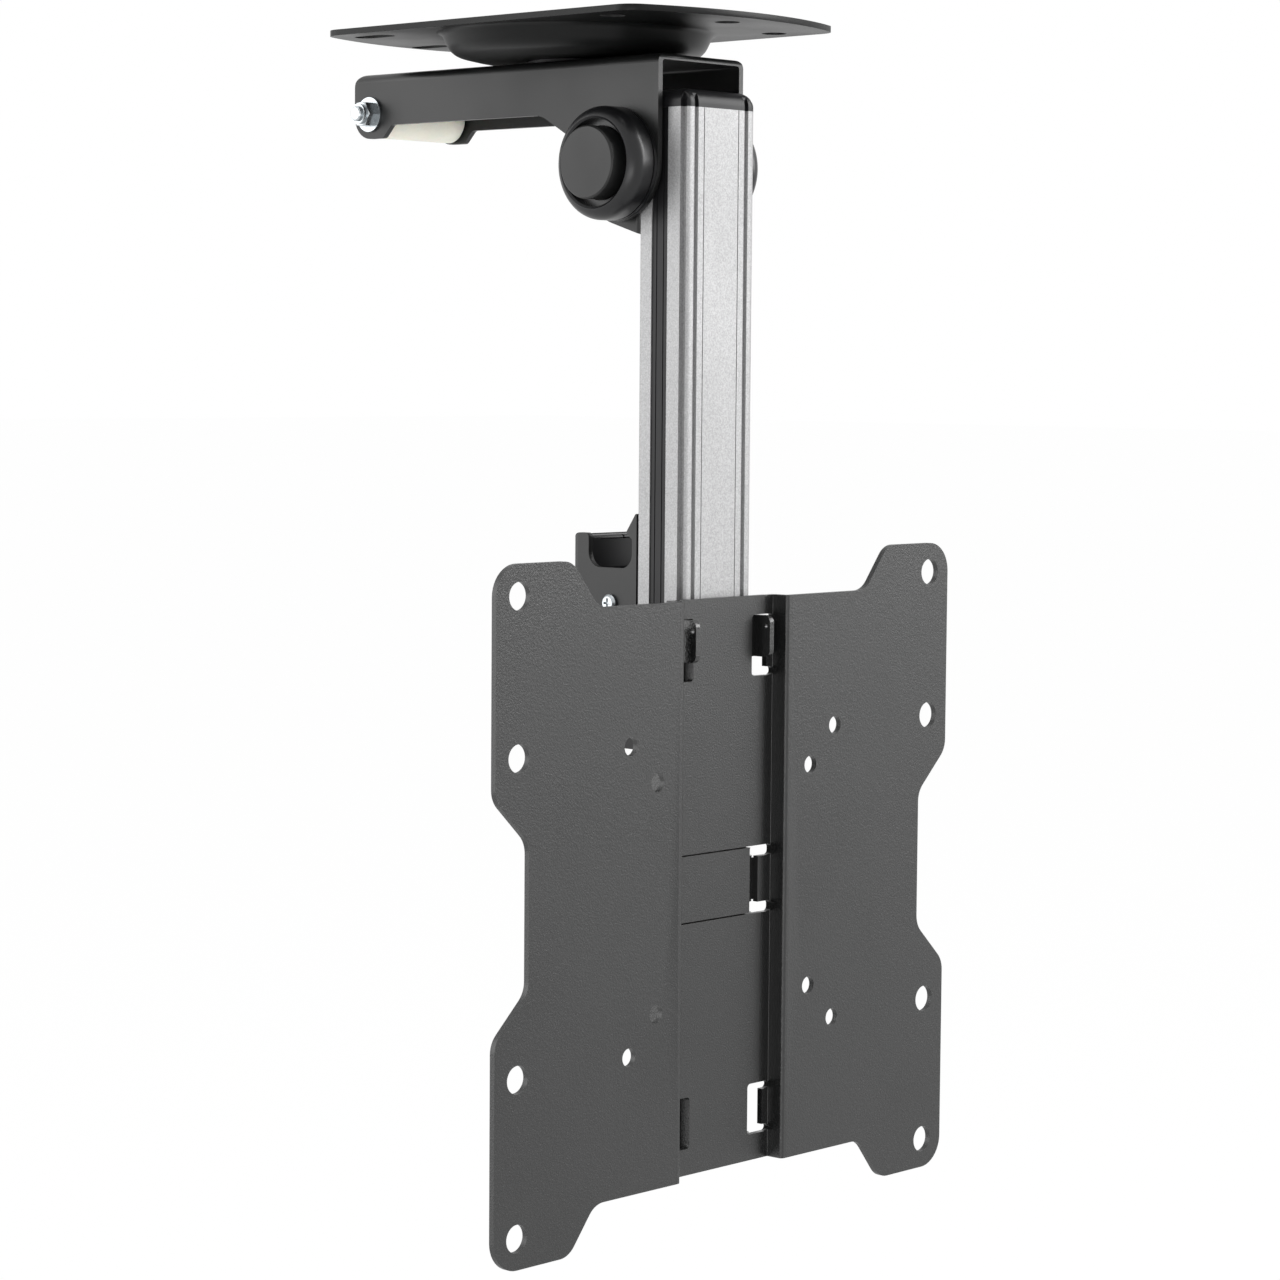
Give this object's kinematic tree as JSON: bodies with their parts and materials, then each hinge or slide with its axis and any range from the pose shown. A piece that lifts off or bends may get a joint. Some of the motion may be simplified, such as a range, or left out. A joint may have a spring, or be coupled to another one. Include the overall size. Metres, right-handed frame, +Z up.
{
  "type": "folding ceiling screen mount",
  "caption": "Folding ceiling mount for a flat screen: swivelling ceiling plate and arm, folding column with push-button pivot and sprung latch, and a square screw plate for the screen.",
  "frame": {"origin": "centre of the ceiling plate's top face, on the swivel axis", "axes": "+Z up against the ceiling, +Y along the arm to its latch end, +X right as seen from the screen's side"},
  "size_m": [0.22, 0.1715, 0.3938],
  "materials": {
    "powder_coat_arm": "satin powder coat, dark grey",
    "powder_coat_plate": "fine-textured powder coat, dark grey",
    "zinc": "bright zinc plating",
    "aluminium": "bead-blasted, silver anodised",
    "black_plastic": "black moulded plastic",
    "gloss_plastic": "glossy black plastic",
    "button_plastic": "satin dark grey plastic",
    "nylon": "cream nylon",
    "rubber": "black rubber",
    "spring_steel": "spring steel"
  },
  "bodies": {
    "ceiling": {"ceiling_plate": "powder_coat_arm", "swivel_bolt": "zinc", "friction_disc": "black_plastic", "thrust_washer": "nylon", "swivel_washer": "zinc", "swivel_nut": "zinc"},
    "arm": {"arm_channel": "powder_coat_arm", "latch_bolt": "zinc", "latch_washers": "zinc", "latch_nut": "zinc", "pivot_sleeve": "zinc", "pivot_bolt": "zinc", "pivot_nut": "zinc", "friction_rings": "nylon", "left_pivot_ring": "gloss_plastic", "right_pivot_ring": "gloss_plastic", "left_button_spring": "spring_steel", "right_button_spring": "spring_steel"},
    "roller": {"latch_roller": "nylon"},
    "left_push_button": {"left_button": "button_plastic"},
    "right_push_button": {"right_button": "button_plastic"},
    "column": {"column_front_cover": "aluminium", "column_core": "black_plastic", "column_rear_rail": "aluminium", "top_end_cap": "black_plastic", "bottom_end_cap": "black_plastic", "hinge_bracket": "powder_coat_arm", "bracket_screws": "zinc", "hinge_nut_plate": "zinc", "vesa_plate": "powder_coat_plate", "plate_carrier": "powder_coat_plate", "carrier_bolts": "zinc", "carrier_nuts": "zinc", "latch_stop": "black_plastic", "stop_screw": "zinc", "latch_spring": "spring_steel"},
    "latch": {"latch_carriage": "powder_coat_arm", "latch_slider_block": "black_plastic", "latch_screws": "zinc", "latch_bumper": "rubber"}
  },
  "joints": [
    {"name": "arm_swivel", "type": "hinge", "parent": "ceiling", "child": "arm", "pos_m": [0, 0, 0], "axis": [0, 0, 1], "continuous": true},
    {"name": "column_fold", "type": "hinge", "parent": "arm", "child": "column", "pos_m": [0, -0.0382, -0.0475], "axis": [1, 0, 0], "range_deg": [0, 97]},
    {"name": "latch_slide", "type": "slide", "parent": "column", "child": "latch", "axis": [0, 0, -1], "range_m": [0, 0.01], "stiffness_N_per_m": 500, "springref_m": -0.01, "deforming": ["latch_spring"]},
    {"name": "left_button_press", "type": "slide", "parent": "arm", "child": "left_push_button", "axis": [1, 0, 0], "range_m": [0, 0.0025], "stiffness_N_per_m": 800, "springref_m": -0.002, "deforming": ["left_button_spring"]},
    {"name": "right_button_press", "type": "slide", "parent": "arm", "child": "right_push_button", "axis": [-1, 0, 0], "range_m": [0, 0.0025], "stiffness_N_per_m": 800, "springref_m": -0.002, "deforming": ["right_button_spring"]},
    {"name": "roller_spin", "type": "hinge", "parent": "arm", "child": "roller", "pos_m": [0, 0.081, -0.0264], "axis": [1, 0, 0], "continuous": true}
  ]
}
